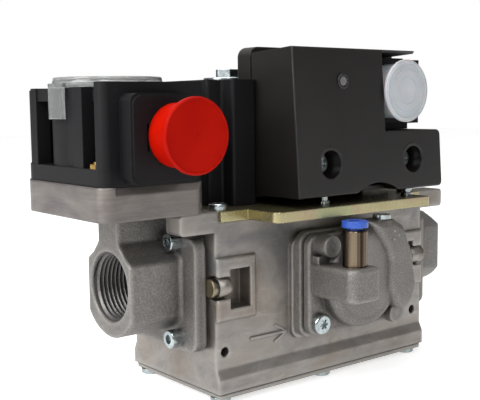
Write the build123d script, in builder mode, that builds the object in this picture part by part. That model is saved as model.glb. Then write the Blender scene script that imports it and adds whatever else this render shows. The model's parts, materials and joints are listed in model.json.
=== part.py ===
from build123d import *
import os
from math import cos, radians, sin

# Combined gas valve: a die-cast body with two solenoid valves, a servo regulator,
# a gas pressure switch and an electrical housing. Millimetres. +X is the gas flow,
# +Z is up, the origin is where the inlet thread starts.

os.makedirs("parts", exist_ok=True)

# Threaded ports
port_r = 13.2
port_length = 17.0
port_chamfer = 0.5
duct_r = 11.5
valve_length = 173.0

# Valve body
body_x0 = 28.5
body_x1 = 144.5
body_half = 28.3
foot_half = 30.0
body_top = 24.5
body_bottom = -41.0
plate_joint = -41.6
cover_bottom = -43.2
foot_slope_top = -31.8
foot_slope_bottom = -35.4
end_pad = 1.9
groove_z = -0.4
mid_x = valve_length / 2

# Flanges
flange_back = 26.6
flange_front = 21.8
flange_half = 24.7
flange_screws_yz = [(-13.5, 16.7), (13.5, 16.7), (-13.5, -20.6), (13.5, -20.6)]

# Chambers and solenoid valves
chamber_half = 20.0
floor_top = -6.0
floor_bottom = -11.0
ceiling = 14.0
valve_y = 8.0
valve_x = [64.0, 110.0]
seat_r = 8.0
valve_lift = 3.5
tube_r = 7.0

# Yoke plate
plate_bottom = 24.5
plate_top = 28.4

# Pressure switch
switch_x0 = -19.2
switch_x1 = 24.1
switch_y0 = -30.0
switch_y1 = 33.4
switch_top = 40.4
drum_x = 2.4
drum_y = 1.7
switch_screws_xy = [(-15.6, -27.0), (18.8, -27.0), (18.8, 29.6), (-11.0, 26.0)]
red_x = 5.7
red_z = 57.6

# Electrical housing
cover_x0 = 57.2
cover_step = 106.4
cover_x1 = 140.8
white_x = 118.4
white_z = 72.7

# Servo regulator
dome_x = 94.0
dome_z = -2.5
servo_screws_xz = [(72.8, -19.0), (74.0, 12.4), (114.6, -20.0), (116.0, 12.4)]
fitting_x = 77.5
fitting_y = -52.5


def block(x0, x1, y0, y1, z0, z1, mode=Mode.ADD):
    """Box given by its limits."""
    with Locations(((x0 + x1) / 2, (y0 + y1) / 2, (z0 + z1) / 2)):
        Box(x1 - x0, y1 - y0, z1 - z0, mode=mode)


def rod_z(x, y, z0, z1, radius, mode=Mode.ADD):
    """Upright cylinder."""
    with Locations((x, y, (z0 + z1) / 2)):
        Cylinder(radius, z1 - z0, mode=mode)


def rod_y(x, z, y0, y1, radius, mode=Mode.ADD):
    """Cylinder along Y."""
    with Locations(Location((x, (y0 + y1) / 2, z), (90, 0, 0))):
        Cylinder(radius, y1 - y0, mode=mode)


def rod_x(y, z, x0, x1, radius, mode=Mode.ADD):
    """Cylinder along X."""
    with Locations(Location(((x0 + x1) / 2, y, z), (0, 90, 0))):
        Cylinder(radius, x1 - x0, mode=mode)


def coil_spring(x, y, z0, z1, mean_r, wire_r, turns):
    """Upright helical spring with its ends cut flat on z0 and z1."""
    height = z1 - z0
    with BuildPart() as spring:
        with BuildLine() as path:
            Helix(pitch=(height - 2 * wire_r) / turns, height=height - 2 * wire_r, radius=mean_r)
        with BuildSketch(Plane(origin=path.line @ 0, z_dir=path.line % 0)):
            Circle(wire_r)
        sweep(path=path.line)
    spring.part.position = (x, y, z0 + wire_r)
    return spring.part


def save(part, name):
    """Name a piece and write its STEP file."""
    part.label = name
    export_step(part, "parts/" + name + ".step")


# Die-cast body ------------------------------------------------------------
with BuildPart() as main_body:
    with BuildSketch(Plane.YZ.offset(body_x0)):
        with BuildLine():
            Polyline(
                (-body_half, body_top), (body_half, body_top),
                (body_half, foot_slope_top), (foot_half, foot_slope_bottom),
                (foot_half, body_bottom), (-foot_half, body_bottom),
                (-foot_half, foot_slope_bottom), (-body_half, foot_slope_top),
                close=True,
            )
        make_face()
    extrude(amount=body_x1 - body_x0)
    for side in (-1, 1):
        # ears that carry the pressure switch at the inlet and the plate at the outlet
        near = sorted((side * 19.0, side * body_half))
        block(13.2, body_x0 + 2, near[0], near[1], 20.6, plate_top)
        block(body_x1 - 2, 159.0, near[0], near[1], 20.6, plate_top)
    fillet(main_body.edges().filter_by(Axis.Y).group_by(Axis.X)[0], 1.5)
    fillet(main_body.edges().filter_by(Axis.Y).group_by(Axis.X)[-1], 1.5)
    for side in (-1, 1):
        frame = sorted((side * (body_half - 2), side * (body_half + 1.3)))
        block(body_x0, 47.4, frame[0], frame[1], -13.2, 11.0)
        block(valve_length - 47.4, valve_length - body_x0, frame[0], frame[1], -13.2, 11.0)
    rims = main_body.edges().filter_by(lambda edge: abs(abs(edge.center().Y) - body_half - 1.3) < 0.01)
    fillet(rims, 0.8)
    # machined end pads where the flanges seat
    block(body_x0 - end_pad, body_x0 + 1, -21.0, 21.0, -25.0, 18.0)
    block(body_x1 - 1, body_x1 + end_pad, -21.0, 21.0, -25.0, 18.0)
    # pad under the servo regulator
    with BuildSketch(Plane.XZ.offset(body_half - 1)):
        with Locations((94.0, -5.2)):
            RectangleRounded(58.0, 40.6, 4.0)
    extrude(amount=3.0)
    # flow arrow
    block(44.8, 62.6, -body_half - 0.6, -body_half + 1, -22.7, -21.7)
    for slope in (-28, 28):
        with Locations(Location((60.3, -body_half + 0.3, -22.2 + slope * 0.06), (0, slope, 0))):
            Box(7.2, 1.5, 0.8)
    # nut pockets, each with a half-round groove to the flange face
    for side in (-1, 1):
        pocket = sorted((side * 22.6, side * 31.0))
        block(34.6, 44.4, pocket[0], pocket[1], -8.8, 6.4, Mode.SUBTRACT)
        block(valve_length - 44.4, valve_length - 34.6, pocket[0], pocket[1], -8.8, 6.4, Mode.SUBTRACT)
        rod_x(side * 27.4, groove_z, flange_back - 1, 37.0, 4.8, Mode.SUBTRACT)
        rod_x(side * 27.4, groove_z, 136.0, valve_length - flange_back + 1, 4.8, Mode.SUBTRACT)
    # upper chambers, one round each valve, and the lower chambers under the seats
    block(36.0, 85.0, -chamber_half, chamber_half, floor_top, ceiling, Mode.SUBTRACT)
    block(89.0, 131.0, -chamber_half, chamber_half, floor_top, ceiling, Mode.SUBTRACT)
    block(46.0, 97.0, -chamber_half, chamber_half, body_bottom, floor_bottom, Mode.SUBTRACT)
    block(101.0, 139.0, -chamber_half, chamber_half, body_bottom, floor_bottom, Mode.SUBTRACT)
    # risers: between the valves, and up to the outlet
    block(90.0, 97.0, -18.0, 18.0, floor_bottom - 1, floor_top + 1, Mode.SUBTRACT)
    block(133.0, 139.0, -chamber_half, chamber_half, floor_bottom - 1, 12.0, Mode.SUBTRACT)
    rod_x(0, 0, body_x0 - end_pad, 37.0, duct_r, Mode.SUBTRACT)
    rod_x(0, 0, 138.0, body_x1 + end_pad, duct_r, Mode.SUBTRACT)
    for x in valve_x:
        rod_z(x, valve_y, floor_top - 1, floor_top + 1.2, seat_r + 1.6)
        rod_z(x, valve_y, floor_bottom - 1, floor_top + 2, seat_r, Mode.SUBTRACT)
        rod_z(x, valve_y, ceiling - 1, 22.0, 10.9, Mode.SUBTRACT)
        rod_z(x, valve_y, 22.0, body_top, 13.1, Mode.SUBTRACT)
    # screw holes for flanges, plate, bottom plate and servo regulator
    for y, z in flange_screws_yz:
        rod_x(y, z, body_x0 - end_pad, 35.0, 2.0, Mode.SUBTRACT)
        rod_x(y, z, 138.0 if z > 0 else 141.0, body_x1 + end_pad, 2.0, Mode.SUBTRACT)
    for x in (33.8, 139.2):
        for y in (-23.5, 23.5):
            rod_z(x, y, 12.0, body_top, 2.0, Mode.SUBTRACT)
    for x in (33.0, 86.0, 139.0):
        for y in (-24.5, 24.5):
            rod_z(x, y, body_bottom, -33.0, 2.0, Mode.SUBTRACT)
    for x, z in servo_screws_xz:
        rod_y(x, z, -31.0, -24.0, 1.7, Mode.SUBTRACT)
    # pressure test taps on the near side
    for x in (32.5, 139.2):
        rod_y(x, -25.2, -body_half - 1, -22.0, 1.9, Mode.SUBTRACT)

# Threaded flanges ---------------------------------------------------------
with BuildPart() as inlet_flange:
    with BuildSketch(Plane.YZ.offset(-port_chamfer)):
        with BuildLine():
            ThreePointArc((-15.7, -11.3), (0, -19.4), (15.7, -11.3))
            Polyline(
                (15.7, -11.3), (15.7, 9.5), (11.5, 12.2), (7.2, 17.0), (7.2, plate_top),
                (-7.2, plate_top), (-7.2, 17.0), (-11.5, 12.2), (-15.7, 9.5), (-15.7, -11.3),
            )
        make_face()
    extrude(amount=flange_front + port_chamfer + 0.5)
    fillet(inlet_flange.edges().filter_by(Axis.X), 1.6)
    with BuildSketch(Plane.YZ.offset(flange_front)):
        with Locations((0, -3.4)):
            RectangleRounded(2 * flange_half, 43.6, 4.5)
    extrude(amount=flange_back - flange_front)
    root = inlet_flange.edges().filter_by(lambda edge: abs(edge.center().X - flange_front) < 0.01)
    inner = root.filter_by(lambda edge: abs(edge.center().Y) < 16 and -19.5 < edge.center().Z < 18)
    fillet(inner, 1.6)
    rod_x(0, 0, -1, port_length, port_r, Mode.SUBTRACT)
    rod_x(0, 0, port_length - 1, flange_back + 1, duct_r, Mode.SUBTRACT)
    chamfer(inlet_flange.edges().filter_by(GeomType.CIRCLE).group_by(Axis.X)[0], port_chamfer)
    for y, z in flange_screws_yz:
        rod_x(y, z, flange_front - 8, flange_back + 1, 2.2, Mode.SUBTRACT)
        rod_x(y, z, 10.0, flange_front, 4.2, Mode.SUBTRACT)
    # face groove for the O-ring
    with BuildPart(mode=Mode.SUBTRACT):
        rod_x(0, 0, flange_back - 1.5, flange_back + 1, 15.5)
        rod_x(0, 0, flange_back - 2, flange_back + 2, 13.7, Mode.SUBTRACT)
    # duct up the neck to the pressure switch
    rod_z(8.0, 0, 10.0, plate_top, 2.5, Mode.SUBTRACT)
save(inlet_flange.part, "inlet_flange")

outlet_flange = BuildPart()
with outlet_flange:
    with BuildSketch(Plane.YZ.offset(valve_length + port_chamfer)):
        with BuildLine():
            ThreePointArc((-15.7, -11.3), (0, -19.4), (15.7, -11.3))
            Polyline(
                (15.7, -11.3), (15.7, 9.5), (11.5, 12.2), (6.0, 15.0),
                (-6.0, 15.0), (-11.5, 12.2), (-15.7, 9.5), (-15.7, -11.3),
            )
        make_face()
    extrude(amount=-(flange_front + port_chamfer + 0.5))
    fillet(outlet_flange.edges().filter_by(Axis.X), 1.6)
    with BuildSketch(Plane.YZ.offset(valve_length - flange_back)):
        with Locations((0, -3.4)):
            RectangleRounded(2 * flange_half, 43.6, 4.5)
    extrude(amount=flange_back - flange_front)
    rod_x(0, 0, valve_length - port_length, valve_length + 1, port_r, Mode.SUBTRACT)
    rod_x(0, 0, valve_length - flange_back - 1, valve_length - port_length + 1, duct_r, Mode.SUBTRACT)
    chamfer(outlet_flange.edges().filter_by(GeomType.CIRCLE).group_by(Axis.X)[-1], port_chamfer)
    for y, z in flange_screws_yz:
        start = valve_length - flange_back - 1
        rod_x(y, z, start, valve_length - flange_front + 8, 2.2, Mode.SUBTRACT)
        rod_x(y, z, valve_length - flange_front, 163.0, 4.2, Mode.SUBTRACT)
    with BuildPart(mode=Mode.SUBTRACT):
        rod_x(0, 0, valve_length - flange_back - 1, valve_length - flange_back + 1.5, 15.5)
        rod_x(0, 0, valve_length - flange_back - 2, valve_length - flange_back + 2, 13.7, Mode.SUBTRACT)
save(outlet_flange.part, "outlet_flange")

with BuildPart() as flange_seals:
    for x in (flange_back - 0.75, valve_length - flange_back + 0.75):
        with Locations(Location((x, 0, 0), (0, 90, 0))):
            Torus(14.6, 0.75)
save(flange_seals.part, "flange_seals")

# Socket head screws with spring washers, four to a flange
with BuildPart() as flange_screws:
    for y, z in flange_screws_yz:
        rod_x(y, z, 16.8, 20.8, 3.5)
        rod_x(y, z, 20.3, 34.0, 1.95)
        rod_x(y, z, 16.3, 18.8, 1.75, Mode.SUBTRACT)
        rod_x(y, z, 152.2, 156.2, 3.5)
        rod_x(y, z, 142.0, 152.7, 1.95)
        rod_x(y, z, 154.2, 156.7, 1.75, Mode.SUBTRACT)
    heads = flange_screws.edges().filter_by(GeomType.CIRCLE)
    rims = heads.filter_by(lambda edge: abs(edge.radius - 3.5) < 0.01)
    chamfer(rims.filter_by(lambda edge: abs(edge.center().X - mid_x) > 69.4), 0.35)
save(flange_screws.part, "flange_screws")

with BuildPart() as flange_washers:
    for y, z in flange_screws_yz:
        rod_x(y, z, 20.8, flange_front, 3.4)
        rod_x(y, z, valve_length - flange_front, 152.2, 3.4)
        rod_x(y, z, 20.0, 23.0, 2.1, Mode.SUBTRACT)
        rod_x(y, z, 150.0, 153.0, 2.1, Mode.SUBTRACT)
save(flange_washers.part, "flange_washers")

with BuildPart() as side_pins:
    for side in (-1, 1):
        for x in (flange_back + 0.2, valve_length - flange_back - 4.4):
            rod_x(side * 26.25, groove_z, x, x + 4.2, 3.6)
    chamfer(side_pins.edges(), 0.4)
save(side_pins.part, "side_pins")

# Inlet screen: a ring that holds a mesh across the duct
with BuildPart() as inlet_screen:
    rod_x(0, 0, 31.0, 32.6, 11.2)
    rod_x(0, 0, 30.0, 33.5, 10.2, Mode.SUBTRACT)
    for step in range(-6, 7):
        block(31.6, 31.9, step * 1.5 - 0.2, step * 1.5 + 0.2, -10.3, 10.3)
        block(31.8, 32.1, -10.3, 10.3, step * 1.5 - 0.2, step * 1.5 + 0.2)
    with BuildPart(mode=Mode.INTERSECT):
        rod_x(0, 0, 30.0, 34.0, 11.2)
save(inlet_screen.part, "inlet_screen")

# Bottom closure -----------------------------------------------------------
with BuildPart() as bottom_gasket:
    block(29.2, 143.8, -29.2, 29.2, plate_joint, body_bottom)
    block(46.0, 97.0, -chamber_half, chamber_half, -42.5, -40.5, Mode.SUBTRACT)
    block(101.0, 139.0, -chamber_half, chamber_half, -42.5, -40.5, Mode.SUBTRACT)
    for x in (33.0, 86.0, 139.0):
        for y in (-24.5, 24.5):
            rod_z(x, y, -42.5, -40.5, 2.2, Mode.SUBTRACT)
save(bottom_gasket.part, "bottom_gasket")

with BuildPart() as bottom_plate:
    block(29.6, 143.4, -29.2, 29.2, cover_bottom, plate_joint)
    for x in (33.0, 86.0, 139.0):
        for y in (-24.5, 24.5):
            rod_z(x, y, -44.5, -41.5, 2.2, Mode.SUBTRACT)
save(bottom_plate.part, "bottom_plate")

with BuildPart() as bottom_screws:
    for x in (33.0, 86.0, 139.0):
        for y in (-24.5, 24.5):
            rod_z(x, y, cover_bottom - 2.2, cover_bottom, 4.0)
            rod_z(x, y, cover_bottom - 0.5, -34.0, 1.95)
            rod_z(x, y, cover_bottom - 2.7, cover_bottom - 1.2, 1.5, Mode.SUBTRACT)
    rims = bottom_screws.edges().filter_by(GeomType.CIRCLE).group_by(Axis.Z)[0]
    fillet(rims.filter_by(lambda edge: edge.radius > 3.0), 0.9)
save(bottom_screws.part, "bottom_screws")

# Yoke plate ---------------------------------------------------------------
with BuildPart() as yoke_plate:
    with BuildSketch(Plane.XY.offset(plate_bottom)):
        with BuildLine():
            Polyline(
                (28.6, -29.6), (43.4, -29.6), (43.4, -46.7), (129.0, -46.7),
                (129.0, -29.6), (144.4, -29.6), (144.4, 29.6), (28.6, 29.6), close=True,
            )
        make_face()
    extrude(amount=plate_top - plate_bottom)
    block(28.0, 30.6, -31.0, -18.8, 24.0, 29.0, Mode.SUBTRACT)
    block(28.0, 30.6, 18.8, 31.0, 24.0, 29.0, Mode.SUBTRACT)
    block(142.4, 145.0, -31.0, -18.8, 24.0, 29.0, Mode.SUBTRACT)
    block(142.4, 145.0, 18.8, 31.0, 24.0, 29.0, Mode.SUBTRACT)
    upright = yoke_plate.edges().filter_by(Axis.Z)
    fillet(upright.filter_by(lambda edge: edge.center().Y < -46 and edge.center().X < 50), 3.2)
    upright = yoke_plate.edges().filter_by(Axis.Z)
    fillet(upright.filter_by(lambda edge: edge.center().Y < -46 and edge.center().X > 120), 1.5)
    for x in valve_x:
        rod_z(x, valve_y, 24.0, 29.0, 8.4, Mode.SUBTRACT)
    for x in (33.8, 139.2):
        for y in (-23.5, 23.5):
            rod_z(x, y, 24.0, 29.0, 2.2, Mode.SUBTRACT)
save(yoke_plate.part, "yoke_plate")

with BuildPart() as yoke_screws:
    for x in (33.8, 139.2):
        for y in (-23.5, 23.5):
            rod_z(x, y, plate_top, 31.0, 3.7)
            rod_z(x, y, 13.0, plate_top + 0.5, 1.95)
            block(x - 2.6, x + 2.6, y - 0.5, y + 0.5, 29.9, 31.5, Mode.SUBTRACT)
            block(x - 0.5, x + 0.5, y - 2.6, y + 2.6, 29.9, 31.5, Mode.SUBTRACT)
    rims = yoke_screws.edges().filter_by(GeomType.CIRCLE).group_by(Axis.Z)[-1]
    fillet(rims.filter_by(lambda edge: edge.radius > 3.0), 1.0)
save(yoke_screws.part, "yoke_screws")

# Solenoids ----------------------------------------------------------------
with BuildPart() as core_tubes:
    for x in valve_x:
        rod_z(x, valve_y, 22.0, plate_bottom, 13.0)
        rod_z(x, valve_y, 24.0, 66.0, 8.0)
        rod_z(x, valve_y, 66.0, 81.0, 3.0)
        rod_z(x, valve_y, 21.0, 50.0, tube_r, Mode.SUBTRACT)
save(core_tubes.part, "core_tubes")

with BuildPart() as tube_seals:
    for x in valve_x:
        rod_z(x, valve_y, 20.6, 22.0, 12.4)
        rod_z(x, valve_y, 20.0, 22.5, 11.2, Mode.SUBTRACT)
with BuildPart() as body_seal_cut:
    for x in valve_x:
        rod_z(x, valve_y, 20.5, 22.2, 12.5)
        rod_z(x, valve_y, 20.0, 22.5, 10.9, Mode.SUBTRACT)
save(main_body.part - body_seal_cut.part, "main_body")
save(tube_seals.part, "tube_seals")

with BuildPart() as coil_housing:
    block(46.0, 132.0, -5.4, 22.4, plate_top, 77.5)
    block(38.0, 46.5, -12.0, 22.4, plate_top, 77.5)
    block(45.2, 56.8, -18.7, 22.4, plate_top, 77.5)
    fillet(coil_housing.edges().filter_by(Axis.Z), 1.2)
    # joint between the two coils and a shallow label field behind each
    block(86.2, 87.8, 20.6, 23.0, plate_top - 1, 78.0, Mode.SUBTRACT)
    block(86.2, 87.8, -5.0, 23.0, 75.9, 78.0, Mode.SUBTRACT)
    for x in valve_x:
        with BuildSketch(Plane.XZ.offset(-22.0)):
            with Locations((x + (mid_x - x) * -0.02, 52.0)):
                RectangleRounded(30.0, 26.0, 3.0)
        extrude(amount=-1.0, mode=Mode.SUBTRACT)
    for x in valve_x:
        rod_z(x, valve_y, plate_top, 68.4, 8.25, Mode.SUBTRACT)
        rod_z(x, valve_y, 35.6, 68.4, 12.6, Mode.SUBTRACT)
        rod_z(x, valve_y, 68.0, 78.0, 3.2, Mode.SUBTRACT)
    for x, y in ((33.8, -23.5), (139.2, -23.5), (139.2, 23.5), (33.8, 23.5)):
        rod_z(x, y, 28.0, 33.0, 4.4, Mode.SUBTRACT)
save(coil_housing.part, "coil_housing")

with BuildPart() as coil_bobbins:
    for x in valve_x:
        rod_z(x, valve_y, 35.8, 68.2, 12.3)
        with BuildPart(mode=Mode.SUBTRACT):
            rod_z(x, valve_y, 37.0, 67.0, 13.0)
            rod_z(x, valve_y, 36.0, 68.0, 9.0, Mode.SUBTRACT)
        rod_z(x, valve_y, 35.0, 69.0, 8.3, Mode.SUBTRACT)
save(coil_bobbins.part, "coil_bobbins")

with BuildPart() as coil_windings:
    for x in valve_x:
        rod_z(x, valve_y, 37.2, 66.8, 12.0)
        rod_z(x, valve_y, 37.0, 67.0, 9.3, Mode.SUBTRACT)
save(coil_windings.part, "coil_windings")

with BuildPart() as coil_washers:
    for x in valve_x:
        rod_z(x, valve_y, 77.5, 79.0, 10.4)
        rod_z(x, valve_y, 77.0, 79.5, 3.2, Mode.SUBTRACT)
    fillet(coil_washers.edges().filter_by(GeomType.CIRCLE).group_by(Axis.Z)[-1], 0.4)
save(coil_washers.part, "coil_washers")

with BuildPart() as coil_nuts:
    for x in valve_x:
        with BuildSketch(Plane.XY.offset(79.0)):
            with Locations((x, valve_y)):
                RegularPolygon(5.6, 6)
        extrude(amount=3.4)
        rod_z(x, valve_y, 78.5, 81.2, 3.05, Mode.SUBTRACT)
save(coil_nuts.part, "coil_nuts")

for number, x in enumerate(valve_x, start=1):
    with BuildPart() as valve_disc:
        rod_z(x, valve_y, -3.3, -1.5, 10.5)
        rod_z(x, valve_y, -2.0, 6.0, 4.0)
    save(valve_disc.part, "valve_disc_" + str(number))
    with BuildPart() as disc_seal:
        rod_z(x, valve_y, floor_top + 1.2, -3.3, 10.5)
        rod_z(x, valve_y, -6.0, -3.0, 5.0, Mode.SUBTRACT)
    save(disc_seal.part, "disc_seal_" + str(number))
    with BuildPart() as plunger:
        rod_z(x, valve_y, 6.0, 46.0, tube_r - 0.05)
    chamfer(plunger.edges().group_by(Axis.Z)[-1], 0.8)
    save(plunger.part, "plunger_" + str(number))
    save(coil_spring(x, valve_y, -1.5, 22.0, 8.8, 0.6, 5), "valve_spring_" + str(number))

# Pressure switch ----------------------------------------------------------
with BuildPart() as switch_base:
    block(switch_x0, switch_x1, switch_y0, switch_y1, plate_top, switch_top)
    upright = switch_base.edges().filter_by(Axis.Z)
    fillet(upright.filter_by(lambda edge: edge.center().Y > 0 and edge.center().X < 0), 11.0)
    upright = switch_base.edges().filter_by(Axis.Z)
    fillet(upright.filter_by(lambda edge: edge.center().Y < -29), 5.0)
    with BuildSketch(Plane.YZ.offset(-14.0)):
        Polygon((-30.5, 37.6), (-30.0, 37.6), (-29.0, 40.4), (-29.0, 41.0), (-30.5, 41.0), align=None)
    extrude(amount=40.0, mode=Mode.SUBTRACT)
    rod_z(drum_x, drum_y, 37.0, 41.0, 19.0, Mode.SUBTRACT)
    rod_z(drum_x, drum_y, 33.0, 37.5, 15.5, Mode.SUBTRACT)
    rod_z(8.0, 0, 28.0, 33.5, 2.5, Mode.SUBTRACT)
    for x, y in switch_screws_xy:
        rod_z(x, y, 33.0, 41.0, 1.3, Mode.SUBTRACT)
    rod_z(8.0, 0, plate_top - 1, 29.4, 4.6, Mode.SUBTRACT)
save(switch_base.part, "switch_base")

with BuildPart() as switch_seal:
    rod_z(8.0, 0, plate_top, 29.4, 4.3)
    rod_z(8.0, 0, 28.0, 30.0, 2.9, Mode.SUBTRACT)
save(switch_seal.part, "switch_seal")

with BuildPart() as switch_diaphragm:
    rod_z(drum_x, drum_y, 37.0, 38.0, 18.7)
    with Locations((drum_x, drum_y, 37.2)):
        Torus(13.0, 0.9)
save(switch_diaphragm.part, "switch_diaphragm")

with BuildPart() as switch_housing:
    block(-18.7, 23.4, -29.6, 33.0, switch_top, 46.5)
    upright = switch_housing.edges().filter_by(Axis.Z)
    fillet(upright.filter_by(lambda edge: edge.center().Y > 0 and edge.center().X < 0), 10.6)
    upright = switch_housing.edges().filter_by(Axis.Z)
    fillet(upright.filter_by(lambda edge: edge.center().Y < -29), 3.5)
    # round chamber of the setting dial and the walls round it
    rod_z(drum_x, drum_y, 46.0, 74.5, 20.6)
    block(-18.7, -13.0, -29.6, -25.2, 46.0, 76.0)
    block(-14.0, 22.4, -29.6, -25.4, 46.0, 76.0)
    block(16.0, 22.4, -29.6, -23.0, 46.0, 76.0)
    corner = switch_housing.edges().filter_by(Axis.Z).filter_by(lambda edge: edge.center().Z > 50)
    fillet(corner.filter_by(lambda edge: edge.center().X < -18 and edge.center().Y < -29), 3.0)
    block(-11.5, -9.0, -26.0, -12.0, 46.0, 74.0)
    block(-18.4, -12.0, -16.0, -9.6, 46.0, 74.5)
    block(-17.6, -12.0, -10.0, -3.5, 46.0, 74.5)
    block(-18.0, -12.0, -4.0, 19.0, 69.8, 74.3)
    block(-18.6, -13.0, 18.5, 22.9, 46.0, 74.6)
    block(-16.4, -12.0, 25.8, 28.6, 46.0, 74.0)
    block(-13.0, -8.0, 22.0, 33.0, 46.0, 74.5)
    block(-12.0, 22.4, 29.6, 33.0, 46.0, 74.5)
    block(19.6, 22.4, -28.0, 33.0, 46.0, 74.5)
    block(-14.0, 21.0, -27.0, 31.0, 69.5, 73.5)
    # terminal box on the near side
    block(-11.5, 15.5, -36.4, -28.6, 41.2, 72.0)
    fillet(switch_housing.edges().filter_by(Axis.Y).filter_by(lambda edge: edge.center().Y < -30), 3.0)
    with BuildSketch(Plane.XZ.offset(36.0)):
        with Locations((2.1, 56.7)):
            RectangleRounded(26.0, 29.4, 3.6)
    extrude(amount=1.2)
    block(-9.3, 13.5, -34.4, -25.0, 46.5, 69.6, Mode.SUBTRACT)
    block(-5.6, -4.7, -38.0, -35.8, 52.4, 61.6, Mode.SUBTRACT)
    rod_y(red_x, red_z, -38.0, -34.0, 7.6, Mode.SUBTRACT)
    # dial chamber, spring well and the ring that clamps the diaphragm
    rod_z(drum_x, drum_y, 66.0, 75.0, 17.4, Mode.SUBTRACT)
    rod_z(drum_x, drum_y, 46.5, 67.0, 13.5, Mode.SUBTRACT)
    rod_z(drum_x, drum_y, 40.0, 47.0, 11.0, Mode.SUBTRACT)
    with BuildPart(mode=Mode.ADD):
        rod_z(drum_x, drum_y, 38.0, 41.0, 18.7)
        rod_z(drum_x, drum_y, 37.0, 42.0, 15.4, Mode.SUBTRACT)
    block(3.0, 12.0, -24.0, -9.0, 48.0, 64.0, Mode.SUBTRACT)
    for x, y in switch_screws_xy:
        rod_z(x, y, 40.0, 80.0, 1.4, Mode.SUBTRACT)
        rod_z(x, y, 70.5, 80.0, 2.1, Mode.SUBTRACT)
save(switch_housing.part, "switch_housing")

with BuildPart() as switch_screws:
    for x, y in switch_screws_xy:
        rod_z(x, y, 34.0, 71.0, 1.25)
        rod_z(x, y, 70.5, 73.2, 2.0)
        block(x - 2.2, x + 2.2, y - 0.3, y + 0.3, 72.2, 74.0, Mode.SUBTRACT)
save(switch_screws.part, "switch_screws")

with BuildPart() as microswitch:
    block(3.6, 11.4, -23.4, -12.6, 48.0, 60.0)
    block(5.0, 10.0, -14.0, -4.4, 58.8, 59.4)
    rod_z(7.5, -14.6, 59.5, 61.2, 0.9)
save(microswitch.part, "microswitch")

with BuildPart() as switch_terminals:
    for x in (-6.5, 1.0, 8.5):
        block(x - 2.4, x + 2.4, -33.0, -26.4, 47.6, 49.4)
        rod_z(x, -30.0, 49.0, 52.0, 1.9)
        block(x - 1.6, x + 1.6, -30.3, -29.7, 51.2, 52.5, Mode.SUBTRACT)
save(switch_terminals.part, "switch_terminals")

with BuildPart() as earth_clip:
    block(-18.4, -14.8, -24.4, -20.8, 46.5, 48.2)
    rod_z(-16.4, -22.6, 48.0, 49.0, 1.4)
save(earth_clip.part, "earth_clip")

with BuildPart() as switch_plunger:
    rod_z(drum_x, drum_y, 38.0, 39.4, 9.5)
    rod_z(drum_x, drum_y, 39.0, 52.0, 1.6)
    rod_z(drum_x, drum_y, 39.0, 41.0, 3.0)
save(switch_plunger.part, "switch_plunger")
save(coil_spring(drum_x, drum_y, 39.4, 57.0, 5.0, 0.5, 6), "switch_spring")

with BuildPart() as setting_dial:
    rod_z(drum_x, drum_y, 66.0, 71.0, 16.9)
    rod_z(drum_x, drum_y, 57.0, 66.5, 6.5)
    rod_z(drum_x, drum_y, 69.4, 72.0, 14.0, Mode.SUBTRACT)
    rod_z(drum_x, drum_y, 69.0, 72.6, 5.5)
    block(drum_x - 4.5, drum_x + 4.5, drum_y - 0.7, drum_y + 0.7, 71.2, 73.0, Mode.SUBTRACT)
    rod_z(drum_x, drum_y, 56.0, 64.0, 2.5, Mode.SUBTRACT)
save(setting_dial.part, "setting_dial")

with BuildPart() as clear_cover:
    rod_z(drum_x, drum_y, 74.5, 77.8, 20.3)
    fillet(clear_cover.edges().filter_by(GeomType.CIRCLE).group_by(Axis.Z)[-1], 1.4)
    rod_z(drum_x, drum_y, 74.0, 76.2, 18.6, Mode.SUBTRACT)
    block(-20.2, -18.9, drum_y - 6.8, drum_y + 3.6, 63.4, 76.0)
    block(-20.2, -16.9, drum_y - 6.8, drum_y + 3.6, 74.6, 76.0)
    block(23.2, 24.4, drum_y - 5.0, drum_y + 5.0, 68.4, 76.0)
    block(20.0, 24.4, drum_y - 5.0, drum_y + 5.0, 74.6, 76.0)
save(clear_cover.part, "clear_cover")

with BuildPart() as cable_boss:
    rod_y(red_x, red_z, -46.6, -37.2, 9.6)
    rod_y(red_x, red_z, -38.0, -34.4, 7.5)
    rod_y(red_x, red_z, -48.0, -33.0, 6.2, Mode.SUBTRACT)
    with BuildPart(mode=Mode.SUBTRACT):
        for turn in range(5):
            rod_y(red_x, red_z, -45.6 + turn * 1.6, -45.0 + turn * 1.6, 11.0)
        rod_y(red_x, red_z, -48.0, -36.0, 9.1, Mode.SUBTRACT)
save(cable_boss.part, "cable_boss")

with BuildPart() as red_cap:
    rod_y(red_x, red_z, -50.2, -48.9, 13.1)
    rod_y(red_x, red_z, -49.4, -37.6, 11.1)
    fillet(red_cap.edges().filter_by(GeomType.CIRCLE).group_by(Axis.Y)[0], 0.5)
    rod_y(red_x, red_z, -48.9, -37.0, 9.68, Mode.SUBTRACT)
save(red_cap.part, "red_cap")

# Electrical housing -------------------------------------------------------
with BuildPart() as rear_shell:
    block(cover_x0, cover_x1 - 0.6, -14.9, -5.7, 30.6, 90.5)
    fillet(rear_shell.edges().filter_by(Axis.Y), 4.0)
    fillet(rear_shell.edges().group_by(Axis.Y)[-1], 2.0)
    block(59.8, 104.0, -18.0, -14.0, 34.6, 85.4)
    block(100.0, 138.2, -18.0, -14.0, 34.6, 53.6)
    block(59.6, 103.0, -19.0, -7.7, 36.6, 83.4, Mode.SUBTRACT)
    block(103.5, 136.2, -19.0, -7.7, 36.6, 51.6, Mode.SUBTRACT)
    for x in (74.5, 122.5):
        rod_y(x, 44.3, -18.0, -6.7, 4.0)
        rod_y(x, 44.3, -19.0, -8.5, 1.8, Mode.SUBTRACT)
save(rear_shell.part, "rear_shell")

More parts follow.
